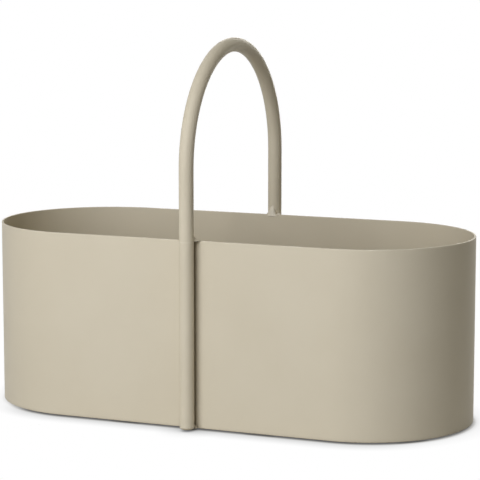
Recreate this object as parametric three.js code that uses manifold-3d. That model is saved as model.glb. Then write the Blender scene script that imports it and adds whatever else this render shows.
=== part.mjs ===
// An open oblong carry box. A strip of painted sheet steel is bent into a ring with half-round ends and welded
// shut behind the rear leg. A flat base is stitch welded inside the ring, just above its bottom edge. One bent
// tube is the handle: its legs run down the outside of the long sides, welded at the rim and at the foot.
// Millimetres. +Z is up, +X runs along the box and -Y is the front. The origin is on the floor, under the middle.
import * as THREE from "three";
import { mergeVertices } from "three/addons/utils/BufferGeometryUtils.js";
import Module from "manifold-3d";

// Body: outside sizes of the ring, sheet thicknesses and the width of the weld that closes the ring
const BODY_LENGTH = 350;
const BODY_DEPTH = 150;
const WALL_HEIGHT = 129;
const WALL_SHEET = 1.2;
const BASE_SHEET = 1.2;
const SEAM_WIDTH = 0.8;

// Handle: the tube, the straight run of each leg above the rim, and the plugs that close the tube's ends
const TUBE_DIAMETER = 10;
const TUBE_WALL = 1.5;
const LEG_ABOVE_RIM = 48;
const PLUG_HEAD = 1.5;
const PLUG_STEM = 8;

// Pads: their size, how far they hold the wall off the floor, and their centres' distance from the long sides
const PAD_DIAMETER = 14;
const PAD_CHAMFER = 0.6;
const FLOOR_GAP = 1.2;
const PAD_INSET = 22;

// Rim weld: its rise above the rim, its reach past the tube on each side and its lap down the outside
const RIM_WELD_RISE = 4.5;
const RIM_WELD_REACH = 3;
const RIM_WELD_LAP = 1;

// Foot welds: their height from the wall's bottom edge and the radius of the bead
const FOOT_WELD_HEIGHT = 3;
const FOOT_WELD_RADIUS = 2.2;

// Base welds: the leg of the fillet, its length, its cover to the wall's bottom edge and its angle on the ends
const STITCH_LEG = 2.2;
const STITCH_LENGTH = 24;
const STITCH_COVER = 0.5;
const END_STITCH_ANGLE = Math.PI / 4;

// The gap left where one piece is fitted or cut to another
const FIT_GAP = 0.3;

// Facets: sides of round sections, and steps over each kind of arc
const TUBE_SIDES = 24;
const ARCH_STEPS = 32;
const END_STEPS = 48;
const PAD_SIDES = 24;
const STITCH_STEPS = 6;
const BEAD_SIDES = 20;
const BEAD_RINGS = 12;

// Worked-out sizes and heights
const END_RADIUS = BODY_DEPTH / 2;
const INNER_RADIUS = END_RADIUS - WALL_SHEET;
const STRAIGHT_HALF = (BODY_LENGTH - BODY_DEPTH) / 2;
const RIM = FLOOR_GAP + WALL_HEIGHT;
const BASE_UNDERSIDE = FLOOR_GAP + STITCH_COVER + STITCH_LEG + FIT_GAP;
const TUBE_RADIUS = TUBE_DIAMETER / 2;
const LEG_AXIS = END_RADIUS + FIT_GAP + TUBE_RADIUS;
const LEG_FOOT = FLOOR_GAP + PLUG_HEAD;
const ARCH_CENTRE = RIM + LEG_ABOVE_RIM;

const PAINTED_STEEL = { color: 0xcbc3b0, roughness: 0.55, metalness: 0 };
const RUBBER = { color: 0x3a3733, roughness: 0.9, metalness: 0 };

const wasm = await Module();
wasm.setup();

// A closed three.js geometry as a solid that can be cut.
function solidOf(geometry) {
  const bare = geometry.clone();
  bare.deleteAttribute("normal");
  bare.deleteAttribute("uv");
  const merged = mergeVertices(bare);
  const mesh = new wasm.Mesh({
    numProp: 3,
    vertProperties: merged.getAttribute("position").array,
    triVerts: new Uint32Array(merged.index.array),
  });
  return new wasm.Manifold(mesh);
}

// A solid back as a three.js geometry.
function geometryOf(solid) {
  const mesh = solid.getMesh();
  const geometry = new THREE.BufferGeometry();
  geometry.setAttribute("position", new THREE.BufferAttribute(mesh.vertProperties, 3));
  geometry.setIndex(new THREE.BufferAttribute(mesh.triVerts, 1));
  geometry.computeVertexNormals();
  return geometry;
}

// A geometry with other geometries cut away from it.
function cut(geometry, ...tools) {
  const solid = tools.reduce((left, tool) => left.subtract(solidOf(tool)), solidOf(geometry));
  return geometryOf(solid);
}

// A profile of radius and height, turned about the Z axis.
function turned(profile, sides) {
  const points = profile.map(([radius, height]) => new THREE.Vector2(radius, height));
  return new THREE.LatheGeometry(points, sides).rotateX(Math.PI / 2);
}

// An upright cylinder from one height to another.
function post(radius, low, high, sides) {
  const profile = [
    [0, low],
    [radius, low],
    [radius, high],
    [0, high],
  ];
  return turned(profile, sides);
}

// A box between two corners.
function block(low, high) {
  const size = high.map((value, axis) => value - low[axis]);
  const middle = high.map((value, axis) => (value + low[axis]) / 2);
  return new THREE.BoxGeometry(...size).translate(...middle);
}

// An ellipsoid with its poles up and down.
function bead(halfSize, centre) {
  return new THREE.SphereGeometry(1, BEAD_SIDES, BEAD_RINGS)
    .rotateX(Math.PI / 2)
    .scale(...halfSize)
    .translate(...centre);
}

// The handle's centre line: one step up the front leg, ARCH_STEPS over the arch and one down the rear leg.
class HandleLine extends THREE.Curve {
  getUtoTmapping(u) {
    return u;
  }

  getPoint(t, target = new THREE.Vector3()) {
    const step = t * (ARCH_STEPS + 2) - 1;
    const onArch = THREE.MathUtils.clamp(step, 0, ARCH_STEPS);
    const turn = (onArch / ARCH_STEPS) * Math.PI;
    const drop = Math.abs(step - onArch) * (ARCH_CENTRE - LEG_FOOT);
    return target.set(0, -LEG_AXIS * Math.cos(turn), ARCH_CENTRE + LEG_AXIS * Math.sin(turn) - drop);
  }
}

// A level arc about a centre, run anticlockwise.
class LevelArc extends THREE.Curve {
  constructor(centre, radius, middle, sweep) {
    super();
    this.centre = centre;
    this.radius = radius;
    this.start = middle - sweep / 2;
    this.sweep = sweep;
  }

  getPoint(t, target = new THREE.Vector3()) {
    const angle = this.start + t * this.sweep;
    const offset = new THREE.Vector3(Math.cos(angle), Math.sin(angle), 0).multiplyScalar(this.radius);
    return target.copy(this.centre).add(offset);
  }
}

// The ring: outside from the seam's right edge round to its left edge, then back along the inside.
function wallShell() {
  const quarter = Math.PI / 2;
  const seam = SEAM_WIDTH / 2;
  const outline = new THREE.Shape();
  outline.moveTo(seam, INNER_RADIUS);
  outline.lineTo(seam, END_RADIUS);
  outline.absarc(STRAIGHT_HALF, 0, END_RADIUS, quarter, -quarter, true);
  outline.absarc(-STRAIGHT_HALF, 0, END_RADIUS, -quarter, quarter, true);
  outline.lineTo(-seam, END_RADIUS);
  outline.lineTo(-seam, INNER_RADIUS);
  outline.absarc(-STRAIGHT_HALF, 0, INNER_RADIUS, quarter, -quarter, false);
  outline.absarc(STRAIGHT_HALF, 0, INNER_RADIUS, -quarter, quarter, false);
  const options = { depth: WALL_HEIGHT, bevelEnabled: false, curveSegments: END_STEPS / 2 };
  return new THREE.ExtrudeGeometry(outline, options).translate(0, 0, FLOOR_GAP);
}

// The weld that fills the seam, flush with both faces of the sheet.
function wallSeamWeld() {
  const seam = SEAM_WIDTH / 2;
  return block([-seam, INNER_RADIUS, FLOOR_GAP], [seam, END_RADIUS, RIM]);
}

function basePlate() {
  const quarter = Math.PI / 2;
  const radius = INNER_RADIUS - FIT_GAP;
  const outline = new THREE.Shape();
  outline.absarc(STRAIGHT_HALF, 0, radius, -quarter, quarter, false);
  outline.absarc(-STRAIGHT_HALF, 0, radius, quarter, -quarter, false);
  const options = { depth: BASE_SHEET, bevelEnabled: false, curveSegments: END_STEPS / 2 };
  return new THREE.ExtrudeGeometry(outline, options).translate(0, 0, BASE_UNDERSIDE);
}

function handleTube() {
  const section = new THREE.Shape();
  section.absarc(0, 0, TUBE_RADIUS, 0, 2 * Math.PI, false);
  const bore = new THREE.Path();
  bore.absarc(0, 0, TUBE_RADIUS - TUBE_WALL, 0, 2 * Math.PI, true);
  section.holes.push(bore);
  return new THREE.ExtrudeGeometry(section, {
    steps: ARCH_STEPS + 2,
    extrudePath: new HandleLine(),
    curveSegments: TUBE_SIDES / 2,
  });
}

// A disc under the tube's end with a stem up its bore.
function legPlug() {
  const stem = TUBE_RADIUS - TUBE_WALL - FIT_GAP;
  const profile = [
    [0, FLOOR_GAP],
    [TUBE_RADIUS, FLOOR_GAP],
    [TUBE_RADIUS, LEG_FOOT],
    [stem, LEG_FOOT],
    [stem, LEG_FOOT + PLUG_STEM],
    [0, LEG_FOOT + PLUG_STEM],
  ];
  return turned(profile, TUBE_SIDES).translate(0, -LEG_AXIS, 0);
}

// The front leg's tube, the fitting gap larger, as a tool that shapes the welds against it.
function legTool() {
  return post(TUBE_RADIUS + FIT_GAP, 0, ARCH_CENTRE, TUBE_SIDES).translate(0, -LEG_AXIS, 0);
}

// A saddle on the rim's edge that wraps the inner half of the tube and laps a little down the outside.
function rimWeld() {
  const halfWidth = TUBE_RADIUS + RIM_WELD_REACH;
  const middle = END_RADIUS - WALL_SHEET / 2;
  const saddle = bead([halfWidth, LEG_AXIS - middle, RIM_WELD_RISE], [0, -middle, RIM]);
  const far = 2 * halfWidth;
  const floor = RIM - RIM_WELD_RISE - FIT_GAP;
  const top = RIM + RIM_WELD_RISE + FIT_GAP;
  const inside = block([-far, -INNER_RADIUS, floor], [far, 0, top]);
  const wall = block([-far, -END_RADIUS - FIT_GAP, floor], [far, 0, RIM + FIT_GAP]);
  const below = block([-far, -LEG_AXIS - far, floor], [far, 0, RIM - RIM_WELD_LAP]);
  return cut(saddle, legTool(), inside, wall, below);
}

// A bead in the corner between tube and wall. Its centre is where a ball of half its radius touches both.
function footWeld(side) {
  const core = FOOT_WELD_RADIUS / 2;
  const across = Math.sqrt((TUBE_RADIUS + core) ** 2 - (LEG_AXIS - END_RADIUS - core) ** 2);
  const centre = [side * across, -END_RADIUS - core, FLOOR_GAP + FOOT_WELD_HEIGHT / 2];
  const lump = bead([FOOT_WELD_RADIUS, FOOT_WELD_RADIUS, FOOT_WELD_HEIGHT / 2], centre);
  const far = 2 * (TUBE_DIAMETER + FOOT_WELD_RADIUS);
  const wall = block([-far, -END_RADIUS - FIT_GAP, 0], [far, 0, RIM]);
  return cut(lump, legTool(), wall);
}

// A fillet in the corner under the base, run along a path with the inside of the box on its left.
function baseWeld(path, steps) {
  const section = new THREE.Shape();
  section.moveTo(0, 0);
  section.lineTo(STITCH_LEG, 0);
  section.lineTo(0, STITCH_LEG);
  return new THREE.ExtrudeGeometry(section, { steps, extrudePath: path });
}

// A base weld along the front side, about a place on it.
function sideBaseWeld(middle) {
  const y = -INNER_RADIUS + FIT_GAP;
  const z = BASE_UNDERSIDE - FIT_GAP;
  const start = new THREE.Vector3(middle - STITCH_LENGTH / 2, y, z);
  const end = new THREE.Vector3(middle + STITCH_LENGTH / 2, y, z);
  return baseWeld(new THREE.LineCurve3(start, end), 1);
}

// A base weld round the right end, about an angle on it.
function endBaseWeld(angle) {
  const radius = INNER_RADIUS - FIT_GAP;
  const centre = new THREE.Vector3(STRAIGHT_HALF, 0, BASE_UNDERSIDE - FIT_GAP);
  return baseWeld(new LevelArc(centre, radius, angle, STITCH_LENGTH / radius), STITCH_STEPS);
}

function pad(side) {
  const radius = PAD_DIAMETER / 2;
  const profile = [
    [0, 0],
    [radius - PAD_CHAMFER, 0],
    [radius, PAD_CHAMFER],
    [radius, BASE_UNDERSIDE],
    [0, BASE_UNDERSIDE],
  ];
  return turned(profile, PAD_SIDES).translate(side * STRAIGHT_HALF, PAD_INSET - END_RADIUS, 0);
}

function piece(name, geometry, finish = PAINTED_STEEL) {
  const mesh = new THREE.Mesh(geometry, new THREE.MeshStandardMaterial(finish));
  mesh.name = name;
  return mesh;
}

// The pieces that come twice: made for the front side and the right end, and turned round for the other half.
function half(turn, long, otherLong, end, otherEnd) {
  const group = new THREE.Group();
  group.rotation.z = turn;
  group.add(piece(`${long}_leg_plug`, legPlug()));
  group.add(piece(`${long}_rim_weld`, rimWeld()));
  for (const [side, name] of [[-1, otherEnd], [1, end]]) {
    group.add(piece(`${long}_${name}_foot_weld`, footWeld(side)));
    group.add(piece(`${long}_${name}_base_weld`, sideBaseWeld((side * STRAIGHT_HALF) / 2)));
    group.add(piece(`${long}_${name}_pad`, pad(side), RUBBER));
  }
  for (const [side, name] of [[-1, long], [1, otherLong]]) {
    group.add(piece(`${end}_end_${name}_base_weld`, endBaseWeld(side * END_STITCH_ANGLE)));
  }
  return group;
}

const box = new THREE.Group();
box.add(piece("wall_shell", wallShell()));
box.add(piece("wall_seam_weld", wallSeamWeld()));
box.add(piece("base_plate", basePlate()));
box.add(piece("handle_tube", handleTube()));
box.add(half(0, "front", "rear", "right", "left"));
box.add(half(Math.PI, "rear", "front", "left", "right"));

export default box;
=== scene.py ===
"""The looks of an open oblong carry box of powder-coated sheet steel, with a welded handle of bent tube.

Metres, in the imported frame: +X along the box, -Y to the front, +Z up, and the floor at z = 0.
"""

import math

import bmesh
import bpy
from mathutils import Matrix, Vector


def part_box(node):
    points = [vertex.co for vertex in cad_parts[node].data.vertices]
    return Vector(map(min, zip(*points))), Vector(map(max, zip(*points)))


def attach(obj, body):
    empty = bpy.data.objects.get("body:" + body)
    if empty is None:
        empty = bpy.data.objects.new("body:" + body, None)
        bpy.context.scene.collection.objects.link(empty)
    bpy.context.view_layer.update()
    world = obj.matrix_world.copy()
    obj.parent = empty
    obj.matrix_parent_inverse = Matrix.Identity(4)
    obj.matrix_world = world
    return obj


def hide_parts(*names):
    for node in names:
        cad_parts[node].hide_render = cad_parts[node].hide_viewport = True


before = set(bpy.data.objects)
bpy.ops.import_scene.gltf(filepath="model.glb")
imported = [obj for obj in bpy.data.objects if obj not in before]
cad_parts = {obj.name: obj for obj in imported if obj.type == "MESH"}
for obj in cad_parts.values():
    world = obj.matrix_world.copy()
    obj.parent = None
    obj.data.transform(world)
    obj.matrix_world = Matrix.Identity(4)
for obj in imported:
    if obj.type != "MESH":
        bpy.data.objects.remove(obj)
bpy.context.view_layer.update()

MM = 0.001
SIDES = ("front", "rear")
HANDS = ("left", "right")

# Sizes from the frame
wall_low, wall_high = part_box("wall_shell")
seam_low, seam_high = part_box("wall_seam_weld")
base_low, base_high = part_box("base_plate")
tube_low, tube_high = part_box("handle_tube")
plug_low, plug_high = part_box("front_leg_plug")

LENGTH = wall_high.x - wall_low.x
DEPTH = wall_high.y - wall_low.y
WALL_FOOT = wall_low.z
RIM = wall_high.z
SHEET = seam_high.y - seam_low.y
TUBE_RADIUS = (plug_high.x - plug_low.x) / 2
LEG_AXIS = -(plug_low.y + plug_high.y) / 2
LEG_FOOT = tube_low.z
ARCH_CENTRE = tube_high.z - TUBE_RADIUS - LEG_AXIS
END_RADIUS = DEPTH / 2
INNER_RADIUS = END_RADIUS - SHEET
STRAIGHT_HALF = (LENGTH - DEPTH) / 2

# Sheet, tube and plugs: sizes that the frame doesn't give
RIM_ROUND = 0.45 * MM
TUBE_WALL = 1.5 * MM
PLUG_ROUND = 3.2 * MM
PLUG_GROOVE = 0.12 * MM
PLUG_GAP = 0.3 * MM

# Pads: the dish is measured in from the rounded edge
PAD_ROUND = 0.8 * MM
PAD_DISH = 0.25 * MM
PAD_DISH_FLAT = 2.2 * MM
PAD_DISH_EDGE = 1.6 * MM

# A loop of points this far from a rounded edge keeps the flat face beside it even
FLAT_MARGIN = 0.2 * MM

# Points nearer than this are one point
MERGE_REACH = 0.0001 * MM

# The stitches under the base: ripple and tip are shares of the radius
STITCH_RADIUS = 1.35 * MM
STITCH_PITCH = 1.9 * MM
STITCH_SEAT = 0.9 * MM
STITCH_RIPPLE = 0.06
STITCH_TIP = 0.06
STITCH_TAPER = 6

# A bead's hidden faces lie this far inside what it joins
BEAD_SINK = 0.05 * MM

# The welds at the rim
RIM_BEAD_SINK = 0.1 * MM
RIM_BEAD_SEAT = 0.12 * MM
RIM_BEAD_LAP = 1.5 * MM
RIM_BEAD_CURL = 3
RIM_BEAD_RAISE = 0.15 * MM
RIM_BEAD_RIPPLE = 0.08 * MM
RIM_BEAD_RIPPLE_TURN = 0.9
RIM_BEAD_HEM = 0.25 * MM
HEM_ACROSS = 0.4
HEM_DOWN = 0.7
HEM_LEAN = 0.02 * MM

# Degrees round the leg over which a rim weld rises to its full raise, and over which its lap grows
RAISE_DEGREES = (46, 60)
LAP_DEGREES = (50, 25)

# The rim welds, at degrees round the leg from the way to the wall: how far they climb the leg and how far
# they spread from it, in millimetres
RIM_WELDS = {
    "front": [
        (-80, 0.2, 0.1),
        (-72, 0.6, 0.5),
        (-63, 2.2, 2.8),
        (-55, 3.3, 5.4),
        (-47, 3.8, 4.0),
        (-38, 4.2, 2.9),
        (-20, 4.5, 2.2),
        (0, 4.6, 2.0),
        (20, 4.5, 2.2),
        (38, 4.3, 2.9),
        (47, 3.9, 4.0),
        (55, 3.5, 5.6),
        (63, 2.4, 2.9),
        (72, 0.6, 0.5),
        (80, 0.2, 0.1),
    ],
    "rear": [
        (-74, 0.2, 0.1),
        (-60, 0.6, 0.7),
        (-45, 1.6, 1.5),
        (-32, 2.6, 2.2),
        (-22, 4.4, 2.4),
        (-10, 6.1, 2.3),
        (4, 6.8, 2.2),
        (14, 6.1, 2.3),
        (21, 4.2, 2.5),
        (27, 1.7, 2.6),
        (33, 0.7, 2.6),
        (39, 0.4, 2.8),
        (48, 1.3, 3.8),
        (57, 0.9, 2.6),
        (66, 0.2, 0.2),
    ],
}

# How hollow a rim weld's face is: the power of its fall from the leg to its toe
RIM_WELD_HOLLOW = {"front": 1.7, "rear": 1.1}

# The welds at the legs' feet: turns are in degrees, shares are of the weld's own width
FOOT_BEAD_TIP = 0.02
FOOT_BEAD_TIP_TURN = 20
FOOT_BEAD_TURN = 30
FOOT_BEAD_SPREAD = 0.75
FOOT_BEAD_HEEL = 0.5
FOOT_BEAD_SWELL = 0.2 * MM
FOOT_BEAD_RIPPLE = 0.08 * MM
FOOT_BEAD_RIPPLE_TURN = 9

# Steps round each form
RING_STEPS = 440
ARCH_STEPS = 96
TUBE_SIDES = 48
TURNED_SIDES = 64
ROUND_STEPS = 5
STITCH_STEPS = 73
BEAD_SIDES = 16
RIM_BEAD_STEPS = 60
RIM_BEAD_FACE = 14
FOOT_BEAD_STEPS = 16
FOOT_BEAD_FACE = 8

STITCH_NODES = [
    "front_left_base_weld",
    "front_right_base_weld",
    "right_end_front_base_weld",
    "right_end_rear_base_weld",
    "rear_right_base_weld",
    "rear_left_base_weld",
    "left_end_rear_base_weld",
    "left_end_front_base_weld",
]

# Edges that turn further than this stay sharp
SHARP = math.radians(40)

# A finishing modifier: wide faces keep flat normals beside rounded edges
EVEN_NORMALS = ("WEIGHTED_NORMAL", {"mode": "FACE_AREA", "weight": 100, "keep_sharp": False})

# Colours, as linear light
PAINT = (0.600, 0.538, 0.408, 1)
PAINT_DEEP = (0.584, 0.521, 0.391, 1)
# Paler paint for rubbed edges and grain, and for the painted highlight on the rear rim weld
PAINT_WORN_AND_HIGHLIT = (0.660, 0.604, 0.482, 1)
# A paler tone for the rear rim weld: a painted highlight
PAINT_WELD_HIGHLIGHT = (0.690, 0.612, 0.462, 1)
# A dark brown for the painted shade in narrow gaps
PAINT_GAP_SHADE = (0.18, 0.126, 0.05, 1)
RUBBER = (0.035, 0.033, 0.030, 1)
RUBBER_DUSTY = (0.075, 0.071, 0.065, 1)
WHITE = (1, 1, 1, 1)

# Noise lies about this level
NOISE_MIDDLE = 0.5

# The powder coat's marks: their sizes, and the noise levels at which a mark starts and is full
CLOUD_SIZE = 45 * MM
CLOUD_LEVELS = (0.25, 0.75)
GRAIN_SIZE = 0.35 * MM
GRAIN_LEVELS = (0.45, 0.8)
SCUFF_SIZE = 6 * MM
SCUFF_LEVELS = (0.3, 0.75)

# The powder coat's orange peel
PEEL_SIZE = 1.3 * MM
PEEL_SHARE = 0.7
PEEL_STRENGTH = 0.35
PEEL_DEPTH = 0.06 * MM

# Heights where rubbing starts and ends at the rim and the wall's foot, and where a hand grips the arch
RUBBED_BELOW_RIM = (RIM - 1.1 * MM, RIM - 0.2 * MM)
RUBBED_ABOVE_RIM = (RIM, RIM + 0.3 * MM)
RUBBED_FOOT = (WALL_FOOT + 0.2 * MM, WALL_FOOT + 1.2 * MM)
GRIPPED = (ARCH_CENTRE + 30 * MM, tube_high.z)

# How much each mark shows in the powder coat's colour
FOOT_RUBBED = 0.5
RUBBED_PALER = 0.6
GRAIN_PALER = 0.12
GAP_SHADE_SHOWN = 0.6

# How much each mark changes the powder coat's roughness
CLOUD_ROUGHER = 0.06
GRAIN_ROUGHER = 0.10
GRIP_SMOOTHER = 0.05
RUBBED_SMOOTHER = 0.06

# Painted shade in gaps: how far it looks for the other side, and how open a gap is
GAP_REACH = 6 * MM
GAP_OPEN = (0.3, 0.85)
GAP_SAMPLES = 16

# The rubber
DUST_SIZE = 2.2 * MM
DUST_LEVELS = (0.4, 0.8)
DUST_SHOWN = 0.7
DUST_ROUGHER = 0.2
RUBBER_ROUGHNESS = 0.78
RUBBER_GRAIN = 0.25 * MM
RUBBER_STRENGTH = 0.4
RUBBER_DEPTH = 0.05 * MM

# The view: the camera looks at a point just right of the box's middle
CAMERA_AZIMUTH = 22.634
CAMERA_ELEVATION = 8.094
CAMERA_DISTANCE = 1.44225
CAMERA_AIM = Vector((4.69, 1.96, 120.64)) * MM
CAMERA_LENS = 152.82
CAMERA_SENSOR = 36
CAMERA_FAR = 100

# The floor and its soft shadow, which fades towards the round ends
FLOOR_HALF = 40
FLOOR_WHITE = (0.8, 0.8, 0.8, 1)
SHADOW_REACH = 19 * MM
SHADOW_EASE = 0.66
SHADOW_LOST_LEFT = 0.7
SHADOW_LOST_RIGHT = 0.6
SHADOW_FADE_LEFT = (0.35, 0.75)
SHADOW_FADE_RIGHT = (0.3, 0.9)
SHADOW_SAMPLES = 32

# The dark line under the wall's foot: its power in red, green and blue
CONTACT_REACH = 2.8 * MM
CONTACT_POWERS = (1.15, 1.2, 1.3)

# The lamps: name, degrees right of the front and above level, distance, width and height in metres,
# watts, colour
LAMPS = [
    ("key", -8, 42, 1.35, 0.8, 0.6, 10.5, (0.985, 1.0, 1.05)),
    ("low", -13, 9, 1.35, 1.2, 0.5, 5.75, (0.985, 1.0, 1.05)),
    ("side", 125, 30, 1.8, 1.0, 1.0, 3.6, (1.0, 0.92, 0.7)),
    ("top", 0, 90, 1.2, 0.8, 0.8, 0.6, (1.0, 0.97, 0.9)),
    ("back", 190, 12, 1.5, 1.0, 1.0, 10.0, (1.0, 0.97, 0.9)),
]


class Socket:
    """A socket of a node tree. Arithmetic with numbers and other sockets adds Math nodes to that tree."""

    def __init__(self, tree, end=None):
        self.tree = tree
        self.end = end

    def add(self, kind, inputs=None, output=0, **settings):
        """A new node: its settings first, then its inputs by name or place, as values or links."""
        node = self.tree.nodes.new(kind)
        for name, value in settings.items():
            setattr(node, name, value)
        for place, value in (inputs or {}).items():
            if isinstance(value, Socket):
                self.tree.links.new(value.end, node.inputs[place])
            else:
                node.inputs[place].default_value = value
        return Socket(self.tree, node.outputs[output] if node.outputs else None)

    def maths(self, operation, *terms):
        return self.add("ShaderNodeMath", dict(enumerate(terms)), operation=operation)

    def clamped(self, low, high):
        return self.add("ShaderNodeClamp", {"Value": self, "Min": low, "Max": high})

    def ramp(self, start, end):
        """0 before start, 1 after end, and smooth between them."""
        inputs = {"Value": self, "From Min": start, "From Max": end}
        return self.add("ShaderNodeMapRange", inputs, interpolation_type="SMOOTHSTEP")

    def __add__(self, other):
        return self.maths("ADD", self, other)

    def __radd__(self, other):
        return self.maths("ADD", other, self)

    def __sub__(self, other):
        return self.maths("SUBTRACT", self, other)

    def __rsub__(self, other):
        return self.maths("SUBTRACT", other, self)

    def __mul__(self, other):
        return self.maths("MULTIPLY", self, other)

    def __rmul__(self, other):
        return self.maths("MULTIPLY", other, self)

    def __truediv__(self, other):
        return self.maths("DIVIDE", self, other)

    def __rtruediv__(self, other):
        return self.maths("DIVIDE", other, self)


# Finishes


def new_finish(name):
    """A material with an empty tree, and that tree's nodes."""
    material = bpy.data.materials.new(name)
    material.use_nodes = True
    material.node_tree.nodes.clear()
    return material, Socket(material.node_tree)


def noise(nodes, place, size, detail=2, roughness=0.5):
    """Noise whose blotches are about that size in metres."""
    inputs = {"Vector": place, "Scale": 1 / size, "Detail": detail, "Roughness": roughness}
    return nodes.add("ShaderNodeTexNoise", inputs)


def colour_mix(nodes, share, first, second):
    return nodes.add("ShaderNodeMix", {0: share, 6: first, 7: second}, output=2, data_type="RGBA")


def openness(nodes, reach, samples):
    """1 where a surface has nothing over it within that reach, and less the more it is closed off."""
    return nodes.add("ShaderNodeAmbientOcclusion", {"Distance": reach}, output="AO", samples=samples)


def powder_coat(name, deep, pale, gloss, roughness):
    """Satin powder coat: a soft orange peel under a finer grain, faint clouds, and edges rubbed paler.

    Where a narrow gap closes the surface off, the colour is darkened: painted shade in the crevices.
    """
    material, nodes = new_finish(name)
    place = nodes.add("ShaderNodeTexCoord", output="Object")
    height = nodes.add("ShaderNodeSeparateXYZ", {"Vector": place}, output="Z")
    clouds = noise(nodes, place, CLOUD_SIZE, detail=3)
    peel = noise(nodes, place, PEEL_SIZE)
    grain = noise(nodes, place, GRAIN_SIZE, detail=3, roughness=0.6)
    scuffs = noise(nodes, place, SCUFF_SIZE, detail=4, roughness=0.65)
    at_rim = height.ramp(*RUBBED_BELOW_RIM) * (1 - height.ramp(*RUBBED_ABOVE_RIM))
    at_foot = 1 - height.ramp(*RUBBED_FOOT)
    gripped = height.ramp(*GRIPPED)
    rubbed = (at_rim + at_foot * FOOT_RUBBED) * scuffs.ramp(*SCUFF_LEVELS)
    body = colour_mix(nodes, clouds.ramp(*CLOUD_LEVELS), deep, pale)
    speckled = colour_mix(nodes, grain.ramp(*GRAIN_LEVELS) * GRAIN_PALER, body, PAINT_WORN_AND_HIGHLIT)
    worn = colour_mix(nodes, rubbed * RUBBED_PALER, speckled, PAINT_WORN_AND_HIGHLIT)
    # Painted shade: the colour darkens in closed-off gaps, such as the crevice beside a leg
    gap_shade = 1 - openness(nodes, GAP_REACH, GAP_SAMPLES).ramp(*GAP_OPEN)
    colour = colour_mix(nodes, gap_shade * GAP_SHADE_SHOWN, worn, PAINT_GAP_SHADE)
    uneven = roughness + (clouds - NOISE_MIDDLE) * CLOUD_ROUGHER + (grain - NOISE_MIDDLE) * GRAIN_ROUGHER
    relief = peel * PEEL_SHARE + grain * (1 - PEEL_SHARE)
    bump = {"Height": relief, "Strength": PEEL_STRENGTH, "Distance": PEEL_DEPTH}
    inputs = {
        "Base Color": colour,
        "Roughness": uneven - gripped * GRIP_SMOOTHER - rubbed * RUBBED_SMOOTHER,
        "Specular IOR Level": gloss,
        "Normal": nodes.add("ShaderNodeBump", bump),
    }
    nodes.add("ShaderNodeOutputMaterial", {"Surface": nodes.add("ShaderNodeBsdfPrincipled", inputs)})
    return material


def soft_rubber():
    """Matt dark rubber with a little dust."""
    material, nodes = new_finish("soft_rubber")
    place = nodes.add("ShaderNodeTexCoord", output="Object")
    dust = noise(nodes, place, DUST_SIZE, detail=4, roughness=0.65)
    grain = noise(nodes, place, RUBBER_GRAIN)
    colour = colour_mix(nodes, dust.ramp(*DUST_LEVELS) * DUST_SHOWN, RUBBER, RUBBER_DUSTY)
    bump = {"Height": grain, "Strength": RUBBER_STRENGTH, "Distance": RUBBER_DEPTH}
    inputs = {
        "Base Color": colour,
        "Roughness": RUBBER_ROUGHNESS + (dust - NOISE_MIDDLE) * DUST_ROUGHER,
        "Normal": nodes.add("ShaderNodeBump", bump),
    }
    nodes.add("ShaderNodeOutputMaterial", {"Surface": nodes.add("ShaderNodeBsdfPrincipled", inputs)})
    return material


POWDER_COAT = powder_coat("powder_coat", PAINT_DEEP, PAINT, gloss=0.15, roughness=0.50)
# The rear rim weld's coat is painted paler than the rest: a painted highlight on its sloping face
HIGHLIT_WELD_COAT = powder_coat("powder_coat_with_painted_highlight", PAINT_WELD_HIGHLIGHT, PAINT_WORN_AND_HIGHLIT, gloss=0.25, roughness=0.42)
SOFT_RUBBER = soft_rubber()

# Geometry node trees


def new_tree(name, sizes):
    """A geometry node tree whose inputs are those named sizes and a finish: its nodes and its inputs."""
    tree = bpy.data.node_groups.new(name, "GeometryNodeTree")
    for label in sizes:
        tree.interface.new_socket(label, in_out="INPUT", socket_type="NodeSocketFloat")
    tree.interface.new_socket("Finish", in_out="INPUT", socket_type="NodeSocketMaterial")
    tree.interface.new_socket("Geometry", in_out="OUTPUT", socket_type="NodeSocketGeometry")
    entry = tree.nodes.new("NodeGroupInput")
    return Socket(tree), {label: Socket(tree, entry.outputs[label]) for label in [*sizes, "Finish"]}


def close_tree(nodes, given, made):
    """Ends a tree: one real mesh, smooth, in its finish."""
    real = nodes.add("GeometryNodeRealizeInstances", {"Geometry": made})
    smooth = nodes.add("GeometryNodeSetShadeSmooth", {"Geometry": real})
    dressed = nodes.add("GeometryNodeSetMaterial", {"Geometry": smooth, "Material": given["Finish"]})
    nodes.add("NodeGroupOutput", {"Geometry": dressed})
    return nodes.tree


def lifted(nodes, made, height):
    """The geometry moved up to that height."""
    lift = nodes.add("ShaderNodeCombineXYZ", {"Z": height})
    return nodes.add("GeometryNodeTransform", {"Geometry": made, "Translation": lift})


def round_section(nodes, sides, radius):
    section = {"Resolution": sides, "Radius": radius}
    return nodes.add("GeometryNodeCurvePrimitiveCircle", section, mode="RADIUS")


def points_curve(nodes, place, count):
    points = nodes.add("GeometryNodePoints", {"Count": count, "Position": place})
    return nodes.add("GeometryNodePointsToCurves", {"Points": points})


def outline_place(nodes, half, radius, along):
    """The place that far along a level outline, to the right from the middle of its front side.

    half is half a straight side, and radius that of the round ends.
    """
    end = radius * math.pi
    right = ((along - half) / radius).clamped(0, math.pi)
    left = ((along - half * 3 - end) / radius).clamped(0, math.pi)
    front = along.clamped(0, half)
    rear = (along - half - end).clamped(0, half * 2)
    last = (along - half * 3 - end * 2).clamped(0, half)
    x = front - rear + last + radius * (nodes.maths("SINE", right) - nodes.maths("SINE", left))
    y = radius * (nodes.maths("COSINE", left) - nodes.maths("COSINE", right) - 1)
    return nodes.add("ShaderNodeCombineXYZ", {"X": x, "Y": y})


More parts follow.
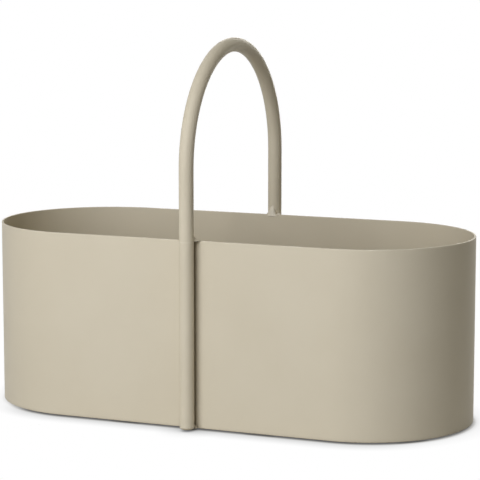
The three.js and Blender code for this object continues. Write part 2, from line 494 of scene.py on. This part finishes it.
def closed_outline(nodes, half, radius):
    """The whole outline as a closed curve whose normals lie level."""
    step = nodes.add("GeometryNodeInputIndex") / RING_STEPS
    place = outline_place(nodes, half, radius, step * (half * 4 + radius * (2 * math.pi)))
    path = points_curve(nodes, place, RING_STEPS)
    closed = nodes.add("GeometryNodeSetSplineCyclic", {"Geometry": path, "Cyclic": True})
    return nodes.add("GeometryNodeSetCurveNormal", {"Curve": closed}, mode="Z_UP")


def sheet_ring_tree():
    """The wall: the sheet's section, with its edges rounded, run round the outline."""
    sizes = ["Half straight", "End radius", "Height", "Sheet", "Round", "Foot"]
    nodes, given = new_tree("sheet_ring", sizes)
    sheet = given["Sheet"]
    path = closed_outline(nodes, given["Half straight"], given["End radius"] - sheet / 2)
    flat = {"Width": sheet, "Height": given["Height"]}
    section = nodes.add("GeometryNodeCurvePrimitiveQuadrilateral", flat, mode="RECTANGLE")
    fillet = {"Curve": section, "Count": ROUND_STEPS, "Radius": given["Round"], "Limit Radius": True}
    rounded = nodes.add("GeometryNodeFilletCurve", fillet, mode="POLY")
    swept = nodes.add("GeometryNodeCurveToMesh", {"Curve": path, "Profile Curve": rounded})
    return close_tree(nodes, given, lifted(nodes, swept, given["Foot"] + given["Height"] / 2))


def base_sheet_tree():
    """The underside of the base: the outline filled."""
    nodes, given = new_tree("base_sheet", ["Half straight", "End radius", "Underside"])
    path = closed_outline(nodes, given["Half straight"], given["End radius"])
    filled = nodes.add("GeometryNodeFillCurve", {"Curve": path}, mode="NGONS")
    return close_tree(nodes, given, lifted(nodes, filled, given["Underside"]))


def bent_tube_tree():
    """The handle: a round section run up the front leg, over the arch and down the rear leg.

    The path's first and last points are the legs' feet, and the others lie on the arch.
    """
    nodes, given = new_tree("bent_tube", ["Leg axis", "Arch centre", "Leg foot", "Radius"])
    step = nodes.add("GeometryNodeInputIndex") - 1
    on_arch = step.clamped(0, ARCH_STEPS)
    turn = on_arch * (math.pi / ARCH_STEPS)
    drop = nodes.maths("ABSOLUTE", step - on_arch) * (given["Arch centre"] - given["Leg foot"])
    y = given["Leg axis"] * nodes.maths("COSINE", turn) * -1
    z = given["Arch centre"] + given["Leg axis"] * nodes.maths("SINE", turn) - drop
    place = nodes.add("ShaderNodeCombineXYZ", {"Y": y, "Z": z})
    path = points_curve(nodes, place, ARCH_STEPS + 3)
    circle = round_section(nodes, TUBE_SIDES, given["Radius"])
    swept = nodes.add("GeometryNodeCurveToMesh", {"Curve": path, "Profile Curve": circle})
    return close_tree(nodes, given, swept)


def stitch_tree():
    """A short weld bead along the outline, rippled, and thin at both ends."""
    sizes = ["Half straight", "End radius", "Start", "Length", "Radius", "Pitch", "Level"]
    nodes, given = new_tree("stitch", sizes)
    share = nodes.add("GeometryNodeInputIndex") / (STITCH_STEPS - 1)
    along = given["Start"] + given["Length"] * share
    place = outline_place(nodes, given["Half straight"], given["End radius"], along)
    path = points_curve(nodes, place, STITCH_STEPS)
    level = nodes.add("GeometryNodeSetCurveNormal", {"Curve": path}, mode="Z_UP")
    factor = nodes.add("GeometryNodeSplineParameter", output="Factor")
    from_middle = nodes.maths("ABSOLUTE", factor * 2 - 1)
    full = nodes.maths("SQRT", 1 + STITCH_TIP - nodes.maths("POWER", from_middle, STITCH_TAPER))
    ripple = nodes.maths("SINE", factor * given["Length"] * (2 * math.pi) / given["Pitch"])
    circle = round_section(nodes, BEAD_SIDES, given["Radius"])
    swell = full * (1 + ripple * STITCH_RIPPLE)
    sweep = {"Curve": level, "Profile Curve": circle, "Scale": swell, "Fill Caps": True}
    swept = nodes.add("GeometryNodeCurveToMesh", sweep)
    return close_tree(nodes, given, lifted(nodes, swept, given["Level"]))


def grown(name, tree, sizes, finish, finishing=()):
    """A plain mesh object made by a tree and by the modifiers that finish it."""
    piece = bpy.data.objects.new(name, bpy.data.meshes.new(name))
    bpy.context.scene.collection.objects.link(piece)
    nodes = piece.modifiers.new("nodes", "NODES")
    nodes.node_group = tree
    values = {**sizes, "Finish": finish}
    for socket in tree.interface.items_tree:
        if socket.in_out == "INPUT":
            nodes[socket.identifier] = values[socket.name]
    for kind, settings in finishing:
        modifier = piece.modifiers.new(kind.lower(), kind)
        for setting, value in settings.items():
            setattr(modifier, setting, value)
    bpy.context.view_layer.update()
    graph = bpy.context.evaluated_depsgraph_get()
    mesh = bpy.data.meshes.new_from_object(piece.evaluated_get(graph), depsgraph=graph)
    piece.modifiers.clear()
    piece.data = mesh
    return piece


def keep(piece, slot, *nodes):
    """The piece stands for those nodes, which are hidden, and hangs from the root body. The slot is not
    used.
    """
    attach(piece, "root")
    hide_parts(*nodes)


# Pieces from rings of points


def lofted(name, rings, finish, round_trip=False):
    """A closed piece through rings of points: capped at both ends, or a profile taken round an axis."""
    count = len(rings[0])
    points = [point for ring in rings for point in ring]
    faces = []
    for i in range(len(rings) if round_trip else len(rings) - 1):
        near = i * count
        far = (i + 1) % len(rings) * count
        for j in range(count - 1 if round_trip else count):
            k = (j + 1) % count
            faces.append((near + j, near + k, far + k, far + j))
    if not round_trip:
        faces.append(tuple(range(count)))
        faces.append(tuple(range(len(points) - count, len(points))))
    work = bmesh.new()
    corners = [work.verts.new(point) for point in points]
    for face in faces:
        work.faces.new([corners[i] for i in face])
    bmesh.ops.remove_doubles(work, verts=work.verts, dist=MERGE_REACH)
    bmesh.ops.recalc_face_normals(work, faces=work.faces)
    mesh = bpy.data.meshes.new(name)
    work.to_mesh(mesh)
    work.free()
    mesh.shade_smooth()
    mesh.materials.append(finish)
    piece = bpy.data.objects.new(name, mesh)
    bpy.context.scene.collection.objects.link(piece)
    return piece


def turned(name, profile, x, y, finish):
    """A profile of radii and heights, from a vertical axis and back to it, turned about that axis."""
    rings = []
    for i in range(TURNED_SIDES):
        turn = 2 * math.pi * i / TURNED_SIDES
        rings.append([(x + r * math.cos(turn), y + r * math.sin(turn), z) for r, z in profile])
    piece = lofted(name, rings, finish, round_trip=True)
    piece.data.set_sharp_from_angle(angle=SHARP)
    return piece


def corner(radius, z, across, up, first, last):
    """A rounded corner of a profile: points on an arc about that radius and height.

    The arc reaches that far across and up, and goes from the first angle to the last, in quarter turns.
    """
    points = []
    for i in range(ROUND_STEPS + 1):
        turn = (first + (last - first) * i / ROUND_STEPS) * math.pi / 2
        points.append((radius + across * math.cos(turn), z + up * math.sin(turn)))
    return points


def eased(value, start, end):
    """0 up to start, 1 from end on, and smooth between them."""
    share = min(max((value - start) / (end - start), 0), 1)
    return share * share * (3 - 2 * share)


# The body and the handle


def make_wall():
    sizes = {
        "Half straight": STRAIGHT_HALF,
        "End radius": END_RADIUS,
        "Height": RIM - WALL_FOOT,
        "Sheet": SHEET,
        "Round": RIM_ROUND,
        "Foot": WALL_FOOT,
    }
    piece = grown("wall_sheet", sheet_ring_tree(), sizes, POWDER_COAT, [EVEN_NORMALS])
    keep(piece, "painted_steel", "wall_shell", "wall_seam_weld")


def make_base():
    sizes = {"Half straight": STRAIGHT_HALF, "End radius": INNER_RADIUS, "Underside": base_low.z}
    thick = ("SOLIDIFY", {"thickness": base_high.z - base_low.z, "offset": 1})
    piece = grown("base_sheet", base_sheet_tree(), sizes, POWDER_COAT, [thick, EVEN_NORMALS])
    keep(piece, "painted_steel", "base_plate")


def make_handle():
    sizes = {
        "Leg axis": LEG_AXIS,
        "Arch centre": ARCH_CENTRE,
        "Leg foot": LEG_FOOT,
        "Radius": TUBE_RADIUS,
    }
    bore = ("SOLIDIFY", {"thickness": TUBE_WALL, "offset": -1})
    piece = grown("handle_bent_tube", bent_tube_tree(), sizes, POWDER_COAT, [bore])
    piece.data.set_sharp_from_angle(angle=SHARP)
    keep(piece, "painted_steel", "handle_tube")


def make_plugs():
    """Round-edged plugs that close the legs' ends. Their stems go up the bore."""
    stem = TUBE_RADIUS - TUBE_WALL - PLUG_GAP
    flat = TUBE_RADIUS - PLUG_ROUND
    rise = LEG_FOOT - PLUG_GROOVE - plug_low.z
    profile = [(0, plug_low.z), (flat - FLAT_MARGIN, plug_low.z)]
    profile += corner(flat, plug_low.z + rise, PLUG_ROUND, rise, -1, 0)
    profile += [
        (TUBE_RADIUS - PLUG_GROOVE, LEG_FOOT),
        (stem, LEG_FOOT),
        (stem, plug_high.z - PLUG_GAP),
        (stem - PLUG_GAP, plug_high.z),
        (0, plug_high.z),
    ]
    for side in SIDES:
        axis = -LEG_AXIS if side == "front" else LEG_AXIS
        piece = turned(side + "_leg_end_cap", profile, 0, axis, POWDER_COAT)
        keep(piece, "painted_steel", side + "_leg_plug")


def make_pad(place):
    """A round rubber foot with soft edges and a shallow dish below."""
    node = place + "_pad"
    low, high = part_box(node)
    flat = (high.x - low.x) / 2 - PAD_ROUND
    dish = low.z + PAD_DISH
    profile = [(0, dish), (flat - PAD_DISH_FLAT, dish), (flat - PAD_DISH_EDGE, low.z)]
    profile += corner(flat, low.z + PAD_ROUND, PAD_ROUND, PAD_ROUND, -1, 0)
    profile += corner(flat, high.z - PAD_ROUND, PAD_ROUND, PAD_ROUND, 0, 1)
    profile += [(flat - FLAT_MARGIN, high.z), (0, high.z)]
    x = (low.x + high.x) / 2
    y = (low.y + high.y) / 2
    piece = turned(place + "_rubber_foot", profile, x, y, SOFT_RUBBER)
    keep(piece, "pad_rubber", node)


def make_pads():
    for side in SIDES:
        for hand in HANDS:
            make_pad(side + "_" + hand)


# Welds


def between(table, place):
    """The values at a place in a table of places and values, eased from each entry to the next."""
    for (start, *first), (end, *last) in zip(table, table[1:]):
        if place <= end:
            share = eased(place, start, end)
            return [low + (high - low) * share for low, high in zip(first, last)]
    return table[-1][1:]


def rim_bead_rings(side):
    """Sections of the weld that joins a leg to the rim, taken round the leg from one flank to the other.

    The weld climbs the leg, spreads along the rim, and laps a little way down the wall's inner face.
    """
    sign = 1 if side == "front" else -1
    table = RIM_WELDS[side]
    hollow = RIM_WELD_HOLLOW[side]
    first, last = table[0][0], table[-1][0]
    inside = TUBE_RADIUS - RIM_BEAD_SINK
    rings = []
    for i in range(RIM_BEAD_STEPS + 1):
        degrees = first + (last - first) * i / RIM_BEAD_STEPS
        turn = math.radians(degrees)
        climb, spread = between(table, degrees)
        ripple = RIM_BEAD_RIPPLE * math.sin(RIM_BEAD_RIPPLE_TURN * i) * eased(spread, 0, 1)
        toe = TUBE_RADIUS + spread * MM + ripple
        crest = climb * MM + ripple
        level = RIM + RIM_BEAD_RAISE * eased(abs(degrees), *RAISE_DEGREES)
        lapped = eased(abs(degrees), *LAP_DEGREES)
        lap = RIM_BEAD_LAP * lapped
        hem = RIM_BEAD_SEAT + (RIM_BEAD_HEM - RIM_BEAD_SEAT) * lapped
        inner_face = min((LEG_AXIS - INNER_RADIUS - BEAD_SINK) / math.cos(turn), toe - BEAD_SINK)
        section = [(inside, level - RIM_BEAD_SEAT)]
        for j in range(RIM_BEAD_FACE + 1):
            out = j / RIM_BEAD_FACE
            height = level + crest * (1 - out) ** hollow - lap * out**RIM_BEAD_CURL
            section.append((inside + (toe - inside) * out, height))
        section.append((inner_face + (toe - inner_face) * HEM_ACROSS, level - lap - hem * HEM_DOWN))
        section.append((inner_face, level - lap - hem))
        section.append((inner_face - HEM_LEAN, level - RIM_BEAD_SEAT))
        rings.append([(r * math.sin(turn), sign * (r * math.cos(turn) - LEG_AXIS), z) for r, z in section])
    return rings


def foot_bead_rings(side, hand):
    """Sections, from the foot up, of the small weld in the corner between a leg's side and the wall."""
    low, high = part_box("front_right_foot_weld")
    sign = 1 if hand == "right" else -1
    on_sheet = BEAD_SINK - END_RADIUS
    leg_axis = Vector((0, -LEG_AXIS))
    rings = []
    for i in range(FOOT_BEAD_STEPS + 1):
        share = i / FOOT_BEAD_STEPS
        size = math.sqrt(1 + FOOT_BEAD_TIP - share * share)
        turn = math.radians(FOOT_BEAD_TIP_TURN + FOOT_BEAD_TURN * size)
        on_leg = leg_axis + Vector((math.sin(turn), math.cos(turn))) * (TUBE_RADIUS - BEAD_SINK)
        on_wall = Vector((low.x + (high.x - low.x) * FOOT_BEAD_SPREAD * size, on_sheet))
        across = on_wall - on_leg
        out = Vector((across.y, -across.x)).normalized()
        swell = FOOT_BEAD_SWELL + FOOT_BEAD_RIPPLE * math.sin(share * FOOT_BEAD_RIPPLE_TURN)
        section = [Vector((low.x * FOOT_BEAD_HEEL, on_sheet))]
        for j in range(FOOT_BEAD_FACE + 1):
            way = j / FOOT_BEAD_FACE
            bulge = 4 * way * (1 - way)
            section.append(on_leg + across * way + out * (swell * size * bulge))
        z = low.z + (high.z - low.z) * share
        rings.append([(sign * point.x, point.y if side == "front" else -point.y, z) for point in section])
    return rings


def along_outline(x, y, radius):
    """How far a point is along the outline of that radius, to the right from the middle of its front."""
    end = math.pi * radius
    if x > STRAIGHT_HALF:
        return STRAIGHT_HALF + radius * math.atan2(x - STRAIGHT_HALF, -y)
    if x < -STRAIGHT_HALF:
        return 3 * STRAIGHT_HALF + end + radius * math.atan2(-x - STRAIGHT_HALF, y)
    if y > 0:
        return 2 * STRAIGHT_HALF + end - x
    return x if x > 0 else 4 * STRAIGHT_HALF + 2 * end + x


def make_stitches():
    """Short beads that hold the base in the wall, in the corner below it."""
    tree = stitch_tree()
    low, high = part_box("front_left_base_weld")
    length = high.x - low.x
    radius = INNER_RADIUS - STITCH_SEAT
    for node in STITCH_NODES:
        low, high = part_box(node)
        middle = along_outline((low.x + high.x) / 2, (low.y + high.y) / 2, radius)
        sizes = {
            "Half straight": STRAIGHT_HALF,
            "End radius": radius,
            "Start": middle - length / 2,
            "Length": length,
            "Radius": STITCH_RADIUS,
            "Pitch": STITCH_PITCH,
            "Level": base_low.z - STITCH_SEAT,
        }
        piece = grown(node.replace("_weld", "_bead"), tree, sizes, POWDER_COAT)
        keep(piece, "painted_steel", node)


def make_welds():
    for side in SIDES:
        # The rear rim weld takes the coat with the painted highlight
        finish = POWDER_COAT if side == "front" else HIGHLIT_WELD_COAT
        piece = lofted(side + "_rim_bead", rim_bead_rings(side), finish)
        piece.data.set_sharp_from_angle(angle=SHARP)
        keep(piece, "painted_steel", side + "_rim_weld")
        for hand in HANDS:
            foot = side + "_" + hand + "_foot"
            piece = lofted(foot + "_bead", foot_bead_rings(side, hand), POWDER_COAT)
            keep(piece, "painted_steel", foot + "_weld")
    make_stitches()


make_wall()
make_base()
make_handle()
make_plugs()
make_pads()
make_welds()

# The view, the floor and the light


def direction(azimuth, elevation):
    """The way out from the box to a point seen at those degrees: right of the front, and above level."""
    turn = math.radians(azimuth)
    rise = math.radians(elevation)
    return Vector((math.sin(turn) * math.cos(rise), -math.cos(turn) * math.cos(rise), math.sin(rise)))


def make_camera():
    back = direction(CAMERA_AZIMUTH, CAMERA_ELEVATION)
    data = bpy.data.cameras.new("camera")
    data.lens = CAMERA_LENS
    data.sensor_width = CAMERA_SENSOR
    data.clip_end = CAMERA_FAR
    camera = bpy.data.objects.new("camera", data)
    camera.location = CAMERA_AIM + back * CAMERA_DISTANCE
    camera.rotation_euler = (-back).to_track_quat("-Z", "Y").to_euler()
    bpy.context.scene.collection.objects.link(camera)
    bpy.context.scene.camera = camera


def seen_rays(nodes):
    """1 for a ray that shows a surface, straight on or in another one, and 0 for one that gathers light."""
    kinds = ("Is Camera Ray", "Is Glossy Ray", "Is Transmission Ray")
    camera, glossy, through = (nodes.add("ShaderNodeLightPath", output=kind) for kind in kinds)
    return (camera + glossy + through).clamped(0, 1)


def white_floor():
    """A floor that lights the box as white paint does. Where it is seen, it glows white but for a shadow.

    The shadow is dark where the box closes off the floor: a soft part, and a line under the wall's foot.
    """
    material, nodes = new_finish("white_floor")
    open_sky = openness(nodes, SHADOW_REACH, SHADOW_SAMPLES)
    contact = openness(nodes, CONTACT_REACH, SHADOW_SAMPLES)
    place = nodes.add("ShaderNodeTexCoord", output="Object")
    x, y = (nodes.add("ShaderNodeSeparateXYZ", {"Vector": place}, output=axis) for axis in "XY")
    past_straight = x - x.clamped(-STRAIGHT_HALF, STRAIGHT_HALF)
    out = nodes.maths("SQRT", past_straight * past_straight + y * y)
    aside = past_straight / out
    off_wall = (out - END_RADIUS).ramp(0, 2 * CONTACT_REACH)
    at_left = 1 - (0 - aside).ramp(*SHADOW_FADE_LEFT) * SHADOW_LOST_LEFT
    at_right = 1 - aside.ramp(*SHADOW_FADE_RIGHT) * off_wall * SHADOW_LOST_RIGHT
    soft = 1 - (1 - nodes.maths("POWER", open_sky, SHADOW_EASE)) * at_left * at_right
    line = 1 - (1 - contact) * (1 - off_wall) * at_left
    shades = [soft * nodes.maths("POWER", line, power) for power in CONTACT_POWERS]
    shadow = nodes.add("ShaderNodeCombineColor", dict(enumerate(shades)))
    lit = nodes.add("ShaderNodeBsdfDiffuse", {"Color": FLOOR_WHITE})
    seen = nodes.add("ShaderNodeEmission", {"Color": shadow, "Strength": 1})
    mixed = nodes.add("ShaderNodeMixShader", {0: seen_rays(nodes), 1: lit, 2: seen})
    nodes.add("ShaderNodeOutputMaterial", {"Surface": mixed})
    return material


def make_floor():
    corners = [(i * FLOOR_HALF, j * FLOOR_HALF, 0) for i, j in ((-1, -1), (1, -1), (1, 1), (-1, 1))]
    mesh = bpy.data.meshes.new("floor")
    mesh.from_pydata(corners, [], [(0, 1, 2, 3)])
    mesh.materials.append(white_floor())
    floor = bpy.data.objects.new("floor", mesh)
    bpy.context.scene.collection.objects.link(floor)


def make_world():
    """White where it is seen. The lamps give all the light."""
    world = bpy.data.worlds.new("studio")
    world.use_nodes = True
    world.node_tree.nodes.clear()
    nodes = Socket(world.node_tree)
    light = nodes.add("ShaderNodeBackground", {"Color": WHITE, "Strength": 0})
    white = nodes.add("ShaderNodeBackground", {"Color": WHITE, "Strength": 1})
    mixed = nodes.add("ShaderNodeMixShader", {0: seen_rays(nodes), 1: light, 2: white})
    nodes.add("ShaderNodeOutputWorld", {"Surface": mixed})
    bpy.context.scene.world = world


def make_lamps():
    """Soft lamps, each turned to the middle of the box."""
    middle = Vector((0, 0, (RIM + WALL_FOOT) / 2))
    for name, azimuth, elevation, distance, width, height, power, colour in LAMPS:
        data = bpy.data.lights.new(name, "AREA")
        data.shape = "RECTANGLE"
        data.size = width
        data.size_y = height
        data.energy = power
        data.color = colour
        out = direction(azimuth, elevation)
        lamp = bpy.data.objects.new(name, data)
        lamp.location = middle + out * distance
        lamp.rotation_euler = out.to_track_quat("Z", "Y").to_euler()
        bpy.context.scene.collection.objects.link(lamp)


make_camera()
make_floor()
make_world()
make_lamps()
bpy.context.scene.view_settings.view_transform = "Standard"
